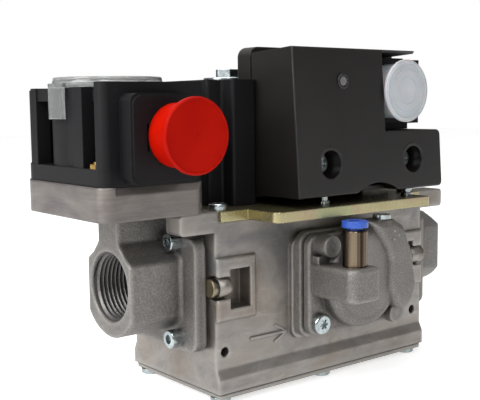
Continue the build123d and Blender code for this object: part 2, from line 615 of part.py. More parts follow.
with BuildPart() as front_cover:
    with BuildSketch(Plane.YZ.offset(cover_x0)):
        with BuildLine():
            Polyline((-15.7, 32.0), (-43.5, 32.0), (-39.6, 89.4), (-15.7, 87.9), close=True)
        make_face()
    extrude(amount=cover_x1 - cover_x0)
    block(cover_step, 145.0, -50.0, -10.0, 56.3, 95.0, Mode.SUBTRACT)
    corner = front_cover.edges().filter_by(Axis.Y).filter_by(lambda edge: edge.center().X > 140)
    fillet(corner, 2.2)
    front = front_cover.faces().filter_by(lambda face: face.center().Y < -39).sort_by(SortBy.AREA)[-1]
    fillet(front.edges(), 0.7)
    with BuildSketch(Plane.YZ.offset(cover_x0 + 2)):
        with BuildLine():
            Polyline((-15.0, 34.0), (-41.3, 34.0), (-37.6, 87.2), (-15.0, 85.8), close=True)
        make_face()
    extrude(amount=cover_step - cover_x0 - 4, mode=Mode.SUBTRACT)
    block(100.0, cover_x1 - 2, -40.0, -15.0, 34.0, 54.3, Mode.SUBTRACT)
    # lip over the connector
    with BuildSketch(Plane.YZ.offset(cover_step - 0.6)):
        with BuildLine():
            Polyline((-39.0, 88.2), (-39.6, 89.3), (-15.7, 87.9), (-15.7, 86.8), close=True)
        make_face()
    extrude(amount=20.2)
    for x in (74.5, 122.5):
        rod_y(x, 44.3, -42.5, -18.4, 6.9)
        rod_y(x, 44.3, -50.0, -34.0, 5.6, Mode.SUBTRACT)
        rod_y(x, 44.3, -35.0, -17.0, 2.2, Mode.SUBTRACT)
    # bow-shaped cut-out in the lower edge
    rod_y(100.6, 14.3, -50.0, -36.0, 21.5, Mode.SUBTRACT)
    rod_y(83.0, 76.5, -45.0, -36.0, 2.0, Mode.SUBTRACT)
save(front_cover.part, "front_cover")

with BuildPart() as indicator_lens:
    rod_y(83.0, 76.5, -40.9, -36.0, 1.9)
    fillet(indicator_lens.edges().group_by(Axis.Y)[0], 0.3)
save(indicator_lens.part, "indicator_lens")

with BuildPart() as cover_screws:
    for x in (74.5, 122.5):
        rod_y(x, 44.3, -37.0, -34.0, 4.1)
        rod_y(x, 44.3, -35.0, -10.0, 1.75)
        block(x - 2.6, x + 2.6, -37.5, -35.8, 43.8, 44.8, Mode.SUBTRACT)
        block(x - 0.5, x + 0.5, -37.5, -35.8, 41.7, 46.9, Mode.SUBTRACT)
    rims = cover_screws.edges().filter_by(GeomType.CIRCLE).group_by(Axis.Y)[0]
    fillet(rims.filter_by(lambda edge: edge.radius > 3.0), 0.8)
save(cover_screws.part, "cover_screws")

with BuildPart() as cover_studs:
    for x, y in ((77.0, -36.0), (125.0, -37.0)):
        rod_z(x, y, plate_top, 32.0, 1.6)
        rod_z(x, y, plate_top, 29.6, 2.4)
save(cover_studs.part, "cover_studs")

with BuildPart() as circuit_board:
    block(62.0, 102.0, -20.2, -18.6, 54.0, 82.0)
    block(64.0, 78.0, -30.0, -20.0, 56.0, 70.0)
    block(88.0, 99.0, -28.0, -20.0, 58.0, 79.0)
    for x in (66.0, 72.0, 84.0):
        rod_y(x, 76.5, -28.0, -20.0, 2.6)
    for x in (62.5, 98.5):
        block(x, x + 3.0, -18.8, -7.7, 60.0, 64.0)
save(circuit_board.part, "circuit_board")

with BuildPart() as connector_block:
    block(107.2, 139.8, -30.8, -14.9, 59.0, 86.2)
    block(107.2, 133.6, -30.0, -14.9, 56.6, 60.0)
    block(107.2, 129.4, -30.8, -14.9, 85.0, 86.7)
    fillet(connector_block.edges().filter_by(Axis.Z).filter_by(lambda edge: edge.center().Y < -29), 0.6)
    rod_y(white_x, white_z, -36.5, -30.0, 10.1)
    rod_y(white_x, white_z, -40.0, -24.0, 8.6, Mode.SUBTRACT)
save(connector_block.part, "connector_block")

with BuildPart() as connector_pins:
    for angle in (90, 210, 330):
        pin_x = white_x + 4.2 * cos(radians(angle))
        pin_z = white_z + 4.2 * sin(radians(angle))
        rod_y(pin_x, pin_z, -33.0, -24.0, 0.9)
    rod_y(white_x, white_z, -33.0, -24.0, 0.9)
save(connector_pins.part, "connector_pins")

with BuildPart() as white_cap:
    rod_y(white_x, white_z, -42.8, -41.6, 12.9)
    rod_y(white_x, white_z, -42.0, -31.6, 11.3)
    fillet(white_cap.edges().filter_by(GeomType.CIRCLE).group_by(Axis.Y)[0], 0.5)
    rod_y(white_x, white_z, -41.4, -31.0, 10.17, Mode.SUBTRACT)
save(white_cap.part, "white_cap")

# Servo regulator ----------------------------------------------------------
with BuildPart() as servo_base:
    with BuildSketch(Plane.XZ.offset(30.3)):
        with Locations((94.2, -3.7)):
            RectangleRounded(55.8, 42.6, 5.0)
    extrude(amount=3.3)
    rod_y(dome_x, dome_z, -34.0, -31.8, 16.0, Mode.SUBTRACT)
    rod_y(dome_x, dome_z, -33.0, -29.0, 2.5, Mode.SUBTRACT)
    for x, z in servo_screws_xz:
        rod_y(x, z, -34.0, -30.0, 1.9, Mode.SUBTRACT)
save(servo_base.part, "servo_base")

with BuildPart() as servo_diaphragm:
    with BuildSketch(Plane.XZ.offset(33.6)):
        with Locations((94.2, -3.7)):
            RectangleRounded(52.8, 39.8, 5.0)
    extrude(amount=0.9)
    for x, z in servo_screws_xz:
        rod_y(x, z, -35.0, -33.0, 1.9, Mode.SUBTRACT)
save(servo_diaphragm.part, "servo_diaphragm")

# arm that carries the push-in fitting, part of the servo cover
with BuildPart() as servo_arm:
    with BuildSketch(Plane.XY.offset(-7.5)):
        with Locations((76.7, -48.0)):
            RectangleRounded(15.8, 25.0, 3.8)
        with Locations((76.7, -40.0)):
            Rectangle(15.8, 8.0)
        with Locations((89.0, -40.5)):
            Rectangle(14.0, 7.0)
    extrude(amount=13.0)
    inner = servo_arm.edges().filter_by(Axis.Z).filter_by(lambda edge: abs(edge.center().Y + 44) < 0.1)
    fillet(inner.filter_by(lambda edge: edge.center().X < 90), 2.0)
    fillet(servo_arm.faces().sort_by(Axis.Z)[-1].edges().filter_by(lambda e: e.center().Y < -37), 1.3)
    fillet(servo_arm.faces().sort_by(Axis.Z)[0].edges().filter_by(lambda e: e.center().Y < -37), 1.3)

# curved lobe of the pilot valve, part of the servo cover
with BuildPart() as pilot_lobe:
    with BuildSketch(Plane.XZ.offset(36.6)):
        with BuildLine():
            Polyline((93.4, 20.6), (103.2, 8.2), (105.2, 2.9), (105.2, -9.0), (108.6, -15.0))
            ThreePointArc((108.6, -15.0), (114.6, -18.0), (120.0, -14.6))
            Polyline((120.0, -14.6), (122.2, -8.6), (119.0, 6.3), (113.8, 17.4), (108.0, 20.6), (93.4, 20.6))
        make_face()
    extrude(amount=10.0)
    sides = pilot_lobe.edges().filter_by(Axis.Y)
    fillet(sides.filter_by(lambda edge: edge.center().X > 94), 2.5)
    fillet(pilot_lobe.faces().sort_by(Axis.Y)[0].edges(), 3.2)

with BuildPart() as servo_cover:
    with BuildSketch(Plane.XZ.offset(34.5)):
        with Locations((94.2, -3.7)):
            RectangleRounded(53.6, 40.6, 5.0)
    extrude(amount=3.1)
    fillet(servo_cover.faces().sort_by(Axis.Y)[0].edges(), 0.9)
    rod_y(dome_x, dome_z, -44.0, -37.0, 20.4)
    fillet(servo_cover.edges().filter_by(GeomType.CIRCLE).group_by(Axis.Y)[0], 3.6)
    # screw bosses: the upper left one is closed, the lower right one has a web
    rod_y(74.0, 12.4, -44.2, -37.0, 4.3)
    block(69.6, 80.0, -40.6, -37.0, 5.0, 8.4)
    rod_y(114.6, -20.6, -41.4, -37.0, 4.3)
    add(servo_arm.part)
    add(pilot_lobe.part)
    # diaphragm space, adjusting screw and screw holes
    rod_y(dome_x, dome_z, -42.0, -34.0, 16.0, Mode.SUBTRACT)
    rod_y(dome_x, dome_z, -45.0, -41.0, 4.1, Mode.SUBTRACT)
    rod_y(72.8, -19.0, -50.0, -34.0, 1.9, Mode.SUBTRACT)
    for x, z in servo_screws_xz[1:]:
        rod_y(x, z, -39.6, -34.0, 1.9, Mode.SUBTRACT)
    rod_z(104.2, -41.8, 12.0, 22.0, 2.6, Mode.SUBTRACT)
    rod_z(fitting_x, fitting_y, -3.0, 6.0, 3.1, Mode.SUBTRACT)
    rod_y(fitting_x, -2.0, fitting_y, -36.0, 1.2, Mode.SUBTRACT)
save(servo_cover.part, "servo_cover")

with BuildPart() as servo_screws:
    rod_y(72.8, -19.0, -40.4, -37.6, 4.2)
    rod_y(72.8, -19.0, -38.0, -25.0, 1.65)
    fillet(servo_screws.edges().filter_by(GeomType.CIRCLE).group_by(Axis.Y)[0], 1.1)
    for turn in (0, 60, 120):
        with Locations(Location((72.8, -40.4, -19.0), (0, turn, 0))):
            Box(4.0, 2.8, 1.1, mode=Mode.SUBTRACT)
    # the other three corners are held by studs set from behind
    for x, z in servo_screws_xz[1:]:
        rod_y(x, z, -39.0, -25.0, 1.65)
save(servo_screws.part, "servo_screws")

with BuildPart() as servo_plate:
    rod_y(dome_x, dome_z, -35.9, -34.5, 11.5)
    rod_y(dome_x, dome_z, -37.4, -35.0, 3.0)
save(servo_plate.part, "servo_plate")

with BuildPart() as regulator_screw:
    rod_y(dome_x, dome_z, -44.6, -38.6, 4.03)
    block(dome_x - 3.2, dome_x + 3.2, -45.0, -43.4, dome_z - 0.6, dome_z + 0.6, Mode.SUBTRACT)
save(regulator_screw.part, "regulator_screw")

with BuildPart() as needle_screw:
    rod_z(104.2, -41.8, 20.6, 22.4, 3.7)
    rod_z(104.2, -41.8, 13.0, 21.0, 2.54)
    block(101.4, 107.0, -42.3, -41.3, 21.6, 23.0, Mode.SUBTRACT)
save(needle_screw.part, "needle_screw")

with BuildPart() as fitting_body:
    rod_z(fitting_x, fitting_y, 5.5, 19.7, 4.9)
    rod_z(fitting_x, fitting_y, -2.6, 6.0, 2.9)
    fillet(fitting_body.edges().group_by(Axis.Z)[-1], 0.6)
    rod_z(fitting_x, fitting_y, 13.8, 20.0, 3.0, Mode.SUBTRACT)
    rod_z(fitting_x, fitting_y, 6.0, 14.5, 2.05, Mode.SUBTRACT)
    rod_z(fitting_x, fitting_y, -3.0, 7.0, 1.0, Mode.SUBTRACT)
save(fitting_body.part, "fitting_body")

with BuildPart() as release_ring:
    rod_z(fitting_x, fitting_y, 20.7, 23.2, 5.1)
    fillet(release_ring.edges().group_by(Axis.Z)[-1], 0.5)
    rod_z(fitting_x, fitting_y, 14.8, 21.0, 2.94)
    rod_z(fitting_x, fitting_y, 14.0, 24.0, 2.1, Mode.SUBTRACT)
save(release_ring.part, "release_ring")
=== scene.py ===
import json
import math

import bmesh
import bpy
from mathutils import Matrix, Vector


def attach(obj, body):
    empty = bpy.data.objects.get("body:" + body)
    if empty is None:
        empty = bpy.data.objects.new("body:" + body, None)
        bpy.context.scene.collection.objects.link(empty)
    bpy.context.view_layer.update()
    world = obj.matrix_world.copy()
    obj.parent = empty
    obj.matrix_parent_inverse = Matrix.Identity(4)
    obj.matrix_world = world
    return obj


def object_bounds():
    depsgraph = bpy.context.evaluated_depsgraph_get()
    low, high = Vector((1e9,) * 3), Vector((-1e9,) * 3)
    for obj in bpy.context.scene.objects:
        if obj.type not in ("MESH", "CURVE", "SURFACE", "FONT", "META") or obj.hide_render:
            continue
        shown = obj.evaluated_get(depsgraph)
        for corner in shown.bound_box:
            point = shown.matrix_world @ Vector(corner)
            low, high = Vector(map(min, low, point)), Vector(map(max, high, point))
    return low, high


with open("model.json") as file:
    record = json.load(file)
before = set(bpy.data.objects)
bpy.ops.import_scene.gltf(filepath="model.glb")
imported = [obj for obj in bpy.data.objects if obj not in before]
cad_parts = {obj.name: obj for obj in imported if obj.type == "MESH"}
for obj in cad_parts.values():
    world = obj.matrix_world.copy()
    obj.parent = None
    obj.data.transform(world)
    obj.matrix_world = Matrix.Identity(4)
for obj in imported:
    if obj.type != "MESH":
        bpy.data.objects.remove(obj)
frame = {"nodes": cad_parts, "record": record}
cad_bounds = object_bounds()
nodes = frame["nodes"]

MM = 0.001
# sizes of the valve that the added pieces are placed by, in millimetres
VALVE_LENGTH = 173.0
BODY_BACK = 28.3
LOBE_FRONT = -46.6
LENS = (83.0, 76.5)
LENS_FRONT = -40.4
WHITE_CAP = (118.4, 72.7)
WHITE_CAP_FRONT = -42.8
RED_CAP = (5.7, 57.6)
RED_CAP_FRONT = -50.1
DIAL = (2.4, 1.7)
DIAL_TOP = 69.62
COVER_TOP = 78.3


# --- materials --------------------------------------------------------------
class Nodes:
    """Small helper that wires one procedural material."""

    def __init__(self, name):
        self.material = bpy.data.materials.new(name)
        self.material.use_nodes = True
        self.tree = self.material.node_tree
        self.shader = self.tree.nodes["Principled BSDF"]
        self.coords = self.tree.nodes.new("ShaderNodeTexCoord")

    def new(self, kind, **props):
        node = self.tree.nodes.new(kind)
        for key, value in props.items():
            setattr(node, key, value)
        return node

    def link(self, source, target):
        self.tree.links.new(source, target)

    def set(self, **values):
        names = {
            "metal": "Metallic", "spec": "Specular IOR Level", "coat": "Coat Weight",
            "coat_rough": "Coat Roughness", "trans": "Transmission Weight", "ior": "IOR",
            "sss": "Subsurface Weight", "sss_scale": "Subsurface Scale",
        }
        for key, value in values.items():
            self.shader.inputs[names[key]].default_value = value

    def scaled(self, scale):
        mapping = self.new("ShaderNodeMapping")
        mapping.inputs["Scale"].default_value = scale
        self.link(self.coords.outputs["Object"], mapping.inputs["Vector"])
        return mapping.outputs["Vector"]

    def noise(self, scale, detail=4.0, rough=0.55, stretch=(1, 1, 1), distortion=0.0):
        node = self.new("ShaderNodeTexNoise")
        node.inputs["Scale"].default_value = scale
        node.inputs["Detail"].default_value = detail
        node.inputs["Roughness"].default_value = rough
        node.inputs["Distortion"].default_value = distortion
        self.link(self.scaled(stretch), node.inputs["Vector"])
        return node.outputs["Fac"]

    def ramp(self, source, stops):
        node = self.new("ShaderNodeValToRGB")
        elements = node.color_ramp.elements
        while len(elements) < len(stops):
            elements.new(0.5)
        for element, (position, color) in zip(elements, stops):
            element.position = position
            element.color = (*color, 1.0)
        self.link(source, node.inputs["Fac"])
        return node.outputs["Color"]

    def mix(self, a, b, factor, blend="MIX"):
        node = self.new("ShaderNodeMix", data_type="RGBA", blend_type=blend)
        if isinstance(factor, float):
            node.inputs[0].default_value = factor
        else:
            self.link(factor, node.inputs[0])
        for value, socket in ((a, node.inputs[6]), (b, node.inputs[7])):
            if isinstance(value, tuple):
                socket.default_value = (*value, 1.0)
            else:
                self.link(value, socket)
        return node.outputs[2]

    def range(self, source, low, high):
        node = self.new("ShaderNodeMapRange")
        node.inputs["To Min"].default_value = low
        node.inputs["To Max"].default_value = high
        self.link(source, node.inputs["Value"])
        return node.outputs["Result"]

    def add(self, a, b, weight=1.0):
        node = self.new("ShaderNodeMath", operation="MULTIPLY_ADD")
        self.link(b, node.inputs[0])
        node.inputs[1].default_value = weight
        self.link(a, node.inputs[2])
        return node.outputs[0]

    def near_edges(self, distance, convex):
        """1 on open faces, lower towards outer edges (convex) or inner corners."""
        node = self.new("ShaderNodeAmbientOcclusion", samples=8, inside=convex, only_local=True)
        node.inputs["Distance"].default_value = distance
        return node.outputs["AO"]

    def weather(self, tone, highlight_tone, highlight_amount, shade_tone, shade_amount):
        """Brighten outer edges with a painted highlight and darken inner corners with painted shade."""
        # painted highlight: convex edges found by the inside AO are mixed towards a lighter tone
        outer_edges = self.near_edges(0.0022, True)
        edge = self.range(outer_edges, highlight_amount, 0.0)
        tone = self.mix(tone, highlight_tone, edge)
        # painted shade: inner corners found by the outside AO are mixed towards a darker tone
        corner = self.range(self.near_edges(0.006, False), shade_amount, 0.0)
        return self.mix(tone, shade_tone, corner)

    def color(self, source):
        self.link(source, self.shader.inputs["Base Color"])

    def rough(self, source, low, high):
        self.link(self.range(source, low, high), self.shader.inputs["Roughness"])

    def bump(self, height, strength, distance, bevel=0.0):
        node = self.new("ShaderNodeBump")
        node.inputs["Strength"].default_value = strength
        node.inputs["Distance"].default_value = distance
        self.link(height, node.inputs["Height"])
        if bevel:
            soft = self.new("ShaderNodeBevel", samples=4)
            soft.inputs["Radius"].default_value = bevel
            self.link(soft.outputs["Normal"], node.inputs["Normal"])
        self.link(node.outputs["Normal"], self.shader.inputs["Normal"])


BLACK = (0.0, 0.0, 0.0)


def srgb(red, green, blue):
    """Colour given as 0 to 255 screen values."""
    def linear(v):
        v /= 255.0
        return v / 12.92 if v <= 0.04045 else ((v + 0.055) / 1.055) ** 2.4
    return (linear(red), linear(green), linear(blue))


def cast_alloy():
    """Die-cast body: satin grey skin with flow marks, darker stains and light scuffs."""
    m = Nodes("cast_alloy")
    patches = m.noise(26, 4, 0.62, (1, 1, 1.3), 0.8)
    grain = m.noise(1100, 3, 0.7)
    flow = m.noise(30, 6, 0.62, (1, 1, 1.5), 1.2)
    scuff = m.noise(150, 6, 0.8, (0.5, 0.5, 1.8), 0.8)
    stains = m.ramp(patches, [
        (0.34, srgb(128, 117, 106)), (0.5, srgb(140, 136, 131)), (0.64, srgb(98, 99, 104)),
    ])
    marks = m.ramp(flow, [
        (0.36, srgb(98, 92, 88)), (0.52, srgb(136, 131, 126)), (0.66, srgb(156, 153, 149)),
    ])
    scuffs = m.ramp(scuff, [(0.54, BLACK), (0.72, srgb(120, 116, 110))])
    tone = m.mix(m.mix(stains, marks, 0.45), scuffs, 0.4, "ADD")
    # painted highlight on outer edges (190, 187, 182) and painted shade in inner corners (62, 58, 56)
    m.color(m.weather(tone, srgb(190, 187, 182), 0.5, srgb(62, 58, 56), 0.8))
    m.set(metal=0.82, spec=0.5)
    m.rough(flow, 0.3, 0.56)
    m.bump(m.add(m.add(grain, flow, 0.8), scuff, 0.5), 0.24, 0.0002, 0.0014)
    return m.material


def blasted_alloy():
    """Flanges and servo casting: matte, grainy, with painted glints as small bright specks."""
    m = Nodes("blasted_alloy")
    grain = m.noise(1500, 2, 0.6)
    pits = m.noise(620, 4, 0.75)
    patches = m.noise(34, 4, 0.6)
    sparkle = m.noise(2300, 1, 0.4)
    grains = m.ramp(grain, [
        (0.34, srgb(84, 80, 77)), (0.52, srgb(107, 104, 100)), (0.72, srgb(138, 135, 132)),
    ])
    clouds = m.ramp(patches, [(0.32, srgb(86, 82, 80)), (0.68, srgb(121, 118, 115))])
    # painted glints: small bright specks added into the colour
    glints = m.ramp(sparkle, [(0.66, BLACK), (0.74, srgb(140, 140, 140))])
    tone = m.mix(m.mix(grains, clouds, 0.5), glints, 0.45, "ADD")
    # painted highlight on outer edges (186, 183, 178) and painted shade in inner corners (58, 55, 53)
    m.color(m.weather(tone, srgb(186, 183, 178), 0.55, srgb(58, 55, 53), 0.9))
    m.set(metal=0.7, spec=0.5)
    m.rough(pits, 0.36, 0.6)
    m.bump(m.add(grain, pits, 1.2), 0.5, 0.00022, 0.0012)
    return m.material


def machined_alloy():
    """Switch base: brushed along its length, with warm and cool clouds."""
    m = Nodes("machined_alloy")
    streaks = m.noise(90, 5, 0.7, (0.8, 0.8, 12))
    fine = m.noise(260, 4, 0.6, (0.6, 0.6, 14))
    cloud = m.noise(36, 4, 0.55, (1, 1, 2.5), 0.6)
    brushed = m.ramp(streaks, [
        (0.3, srgb(100, 93, 89)), (0.5, srgb(116, 110, 106)), (0.72, srgb(130, 125, 121)),
    ])
    clouds = m.ramp(cloud, [(0.34, srgb(80, 76, 79)), (0.66, srgb(134, 128, 122))])
    m.color(m.mix(brushed, clouds, 0.55))
    m.set(metal=0.85)
    m.rough(fine, 0.34, 0.48)
    m.bump(m.add(streaks, fine, 0.6), 0.16, 0.00014, 0.0012)
    return m.material


def yellow_zinc():
    """Yoke plate: olive passivation that drifts towards pink and green."""
    m = Nodes("yellow_zinc")
    hue = m.noise(24, 2, 0.45, (1.0, 1.0, 2.2), 0.6)
    fine = m.noise(700, 3, 0.6, (1, 1, 0.3))
    m.color(m.ramp(hue, [
        (0.25, srgb(146, 136, 100)), (0.42, srgb(160, 152, 116)), (0.5, srgb(158, 142, 114)),
        (0.6, srgb(150, 152, 114)), (0.8, srgb(138, 132, 102)),
    ]))
    m.set(metal=0.95, coat=0.2, coat_rough=0.18)
    m.rough(fine, 0.2, 0.38)
    m.bump(fine, 0.15, 0.0001, 0.0006)
    return m.material


def plated(name, dark, light, low=0.2, high=0.36):
    """Bright metal with faint clouds and turning marks."""
    m = Nodes(name)
    cloud = m.noise(300, 3, 0.6)
    turned = m.noise(1400, 2, 0.5)
    m.color(m.ramp(cloud, [(0.3, dark), (0.7, light)]))
    m.set(metal=1.0)
    m.rough(cloud, low, high)
    m.bump(turned, 0.12, 0.00008, 0.0003)
    return m.material


def moulded(name, dark, light, low, high, grain_scale=1300, strength=0.2, bevel=0.0005, spec=0.5):
    """Moulded plastic: fine eroded grain, faint flow clouds and a few pale rub marks."""
    m = Nodes(name)
    cloud = m.noise(28, 3, 0.55)
    grain = m.noise(grain_scale, 2, 0.5)
    rub = m.noise(160, 5, 0.8, (0.5, 0.5, 1.6), 1.0)
    clouds = m.ramp(cloud, [(0.3, dark), (0.7, light)])
    grains = m.ramp(grain, [(0.4, dark), (0.62, light)])
    rubs = m.ramp(rub, [(0.62, BLACK), (0.8, srgb(52, 51, 50))])
    m.color(m.mix(m.mix(clouds, grains, 0.35), rubs, 0.3, "ADD"))
    m.set(metal=0.0, spec=spec)
    m.rough(cloud, low, high)
    m.bump(grain, strength, 0.00008, bevel)
    return m.material


def soft_plastic(name, dark, light, low, high, scatter, spec=0.45):
    """Coloured soft plastic that lets a little light into its surface."""
    m = Nodes(name)
    cloud = m.noise(60, 3, 0.5)
    fine = m.noise(500, 3, 0.6)
    m.color(m.ramp(cloud, [(0.3, dark), (0.7, light)]))
    m.set(metal=0.0, spec=spec, sss=scatter, sss_scale=0.002)
    m.rough(fine, low, high)
    m.bump(m.add(cloud, fine, 0.3), 0.12, 0.0002, 0.0004)
    return m.material


def clear_plastic():
    """Clear cover with a faint haze."""
    m = Nodes("clear_plastic")
    haze = m.noise(120, 3, 0.5)
    m.color(m.ramp(haze, [(0.3, (0.86, 0.88, 0.88)), (0.7, (0.95, 0.96, 0.96))]))
    m.set(metal=0.0, trans=0.92, ior=1.45)
    m.rough(haze, 0.03, 0.12)
    m.bump(haze, 0.05, 0.0001, 0.0005)
    return m.material


def wound_copper():
    """Coil wire, turn upon turn."""
    m = Nodes("wound_copper")
    turns = m.new("ShaderNodeTexWave", wave_type="BANDS", bands_direction="Z", wave_profile="SIN")
    turns.inputs["Scale"].default_value = 700
    m.link(m.coords.outputs["Object"], turns.inputs["Vector"])
    m.color(m.ramp(turns.outputs["Fac"], [(0.2, srgb(110, 52, 30)), (0.7, srgb(196, 112, 70))]))
    m.set(metal=0.9)
    m.rough(turns.outputs["Fac"], 0.45, 0.25)
    m.bump(turns.outputs["Fac"], 0.6, 0.0003)
    return m.material


def turned_nickel():
    """Body of the push-in fitting: dull nickel over brass, with painted reflection bands along its axis.
    """
    m = Nodes("turned_nickel")
    reflection_bands = m.noise(190, 1, 0.5, (1, 1, 0.02))
    fine = m.noise(900, 3, 0.6, (0.3, 0.3, 2))
    # painted reflections: dark and light bands along the axis stand in for the surroundings mirrored in
    # the round barrel
    m.color(m.ramp(reflection_bands, [
        (0.36, srgb(40, 32, 26)), (0.46, srgb(98, 85, 72)),
        (0.54, srgb(56, 46, 38)), (0.62, srgb(112, 100, 84)),
    ]))
    m.set(metal=1.0)
    m.rough(fine, 0.18, 0.3)
    m.bump(fine, 0.1, 0.00006, 0.0005)
    return m.material


GOLD_FROM = 58.3


def pin_metal():
    """Grey pins whose outer ends are brass coloured."""
    m = Nodes("pin_metal")
    split = m.new("ShaderNodeSeparateXYZ")
    m.link(m.coords.outputs["Object"], split.inputs["Vector"])
    from_middle = m.new("ShaderNodeMath", operation="SUBTRACT")
    m.link(split.outputs["X"], from_middle.inputs[0])
    from_middle.inputs[1].default_value = VALVE_LENGTH / 2 * MM
    distance = m.new("ShaderNodeMath", operation="ABSOLUTE")
    m.link(from_middle.outputs[0], distance.inputs[0])
    outer = m.new("ShaderNodeMath", operation="GREATER_THAN")
    m.link(distance.outputs[0], outer.inputs[0])
    outer.inputs[1].default_value = GOLD_FROM * MM
    fine = m.noise(900, 3, 0.6)
    grey = m.ramp(fine, [(0.3, srgb(74, 72, 70)), (0.7, srgb(100, 98, 96))])
    gold = m.ramp(fine, [(0.3, srgb(112, 104, 86)), (0.7, srgb(140, 130, 108))])
    m.color(m.mix(grey, gold, outer.outputs[0]))
    m.set(metal=1.0)
    m.rough(fine, 0.3, 0.42)
    m.bump(fine, 0.12, 0.00008, 0.0005)
    return m.material


def thread_metal():
    """Cut thread, smoother than the casting round it."""
    m = Nodes("thread_metal")
    fine = m.noise(1200, 3, 0.6)
    m.color(m.ramp(fine, [(0.3, srgb(82, 80, 79)), (0.7, srgb(110, 108, 107))]))
    m.set(metal=1.0)
    m.rough(fine, 0.42, 0.54)
    m.bump(fine, 0.1, 0.00008)
    return m.material


MATERIALS = {
    "cast_alloy": cast_alloy(),
    "flange_alloy": blasted_alloy(),
    "machined_alloy": machined_alloy(),
    "yellow_zinc": yellow_zinc(),
    "zinc": plated("zinc", srgb(128, 138, 140), srgb(186, 193, 194), 0.16, 0.32),
    "black_plastic": moulded("black_plastic", srgb(12, 11, 13), srgb(18, 17, 19), 0.46, 0.6, spec=0.16),
    "dark_plastic": moulded("dark_plastic", srgb(15, 13, 12), srgb(21, 18, 17), 0.32, 0.46, spec=0.4),
    "red_plastic": soft_plastic("red_plastic", srgb(138, 6, 0), srgb(152, 12, 0), 0.34, 0.46, 0.05, 0.05),
    "milky_plastic": soft_plastic(
        "milky_plastic", srgb(150, 152, 156), srgb(172, 174, 178), 0.28, 0.42, 0.3
    ),
    "blue_plastic": soft_plastic("blue_plastic", srgb(28, 64, 148), srgb(42, 82, 170), 0.22, 0.34, 0.08),
    "clear_plastic": clear_plastic(),
    "dial_plastic": moulded("dial_plastic", srgb(170, 158, 112), srgb(190, 180, 134), 0.36, 0.5),
    "rubber": moulded("rubber", srgb(16, 16, 16), srgb(26, 25, 24), 0.6, 0.8),
    "nickel_brass": plated("nickel_brass", srgb(118, 98, 78), srgb(150, 128, 104), 0.14, 0.24),
    "brass": plated("brass", srgb(150, 116, 54), srgb(198, 164, 94), 0.2, 0.34),
    "copper": wound_copper(),
    "steel": plated("steel", srgb(92, 92, 92), srgb(128, 127, 126), 0.26, 0.44),
    "board": moulded("board", srgb(14, 66, 36), srgb(24, 92, 48), 0.3, 0.45),
}

def dress(item, material):
    """Give an object one material."""
    item.data.materials.clear()
    item.data.materials.append(material)


for subpart in frame["record"]["subparts"]:
    dress(nodes[subpart["node"]], MATERIALS[subpart["material_slot"]])
for name, material in (
    ("indicator_lens", soft_plastic("smoked_lens", srgb(74, 74, 76), srgb(104, 104, 107), 0.2, 0.3, 0.1)),
    ("fitting_body", turned_nickel()),
    ("side_pins", pin_metal()),
):
    dress(nodes[name], material)


# --- stage ------------------------------------------------------------------
FLOOR_HALF = 3.0
floor_z = cad_bounds[0][2]
floor_mesh = bpy.data.meshes.new("floor")
floor_corners = [(x, y, floor_z) for x, y in ((-1, -1), (1, -1), (1, 1), (-1, 1))]
floor_corners = [(x * FLOOR_HALF, y * FLOOR_HALF, z) for x, y, z in floor_corners]
floor_mesh.from_pydata(floor_corners, [], [(0, 1, 2, 3)])
floor = bpy.data.objects.new("floor", floor_mesh)
bpy.context.scene.collection.objects.link(floor)
floor_nodes = Nodes("floor")
floor_tone = floor_nodes.ramp(floor_nodes.noise(3), [(0.3, (0.6, 0.6, 0.6)), (0.7, (0.64, 0.64, 0.64))])
floor_nodes.color(floor_tone)
floor_nodes.set(spec=0.2)
floor_nodes.shader.inputs["Emission Color"].default_value = (1, 1, 1, 1)
floor_nodes.shader.inputs["Emission Strength"].default_value = 0.6
floor_nodes.shader.inputs["Roughness"].default_value = 0.8
floor_mesh.materials.append(floor_nodes.material)

# Surroundings: white behind the valve, and for its reflections a dim band at the horizon
# under a brighter top, broken up by soft panels.
world = bpy.data.worlds.new("studio")
world.use_nodes = True
sky = world.node_tree
sky_coords = sky.nodes.new("ShaderNodeTexCoord")
sky_split = sky.nodes.new("ShaderNodeSeparateXYZ")
sky_ramp = sky.nodes.new("ShaderNodeValToRGB")
sky_range = sky.nodes.new("ShaderNodeMapRange")
sky_range.inputs["From Min"].default_value = -1
sky.links.new(sky_coords.outputs["Generated"], sky_split.inputs["Vector"])
sky.links.new(sky_split.outputs["Z"], sky_range.inputs["Value"])
sky.links.new(sky_range.outputs["Result"], sky_ramp.inputs["Fac"])
SKY_LEVELS = [(0.0, 0.55), (0.44, 0.5), (0.5, 0.18), (0.62, 0.16), (0.8, 0.6), (1.0, 1.0)]
while len(sky_ramp.color_ramp.elements) < len(SKY_LEVELS):
    sky_ramp.color_ramp.elements.new(0.5)
for element, (position, level) in zip(sky_ramp.color_ramp.elements, SKY_LEVELS):
    element.position = position
    element.color = (level, level, level, 1)
sky_white = sky.nodes.new("ShaderNodeBackground")
sky_mix = sky.nodes.new("ShaderNodeMixShader")
sky_path = sky.nodes.new("ShaderNodeLightPath")
sky_panels = sky.nodes.new("ShaderNodeTexNoise")
sky_panels.inputs["Scale"].default_value = 1.9
sky_panels.inputs["Detail"].default_value = 1.0
sky.links.new(sky_coords.outputs["Generated"], sky_panels.inputs["Vector"])
sky_contrast = sky.nodes.new("ShaderNodeMapRange")
for socket, value in (("From Min", 0.38), ("From Max", 0.62), ("To Min", 0.35), ("To Max", 1.6)):
    sky_contrast.inputs[socket].default_value = value
sky.links.new(sky_panels.outputs["Fac"], sky_contrast.inputs["Value"])
sky.links.new(sky_ramp.outputs["Color"], sky.nodes["Background"].inputs["Color"])
sky.links.new(sky_contrast.outputs["Result"], sky.nodes["Background"].inputs["Strength"])
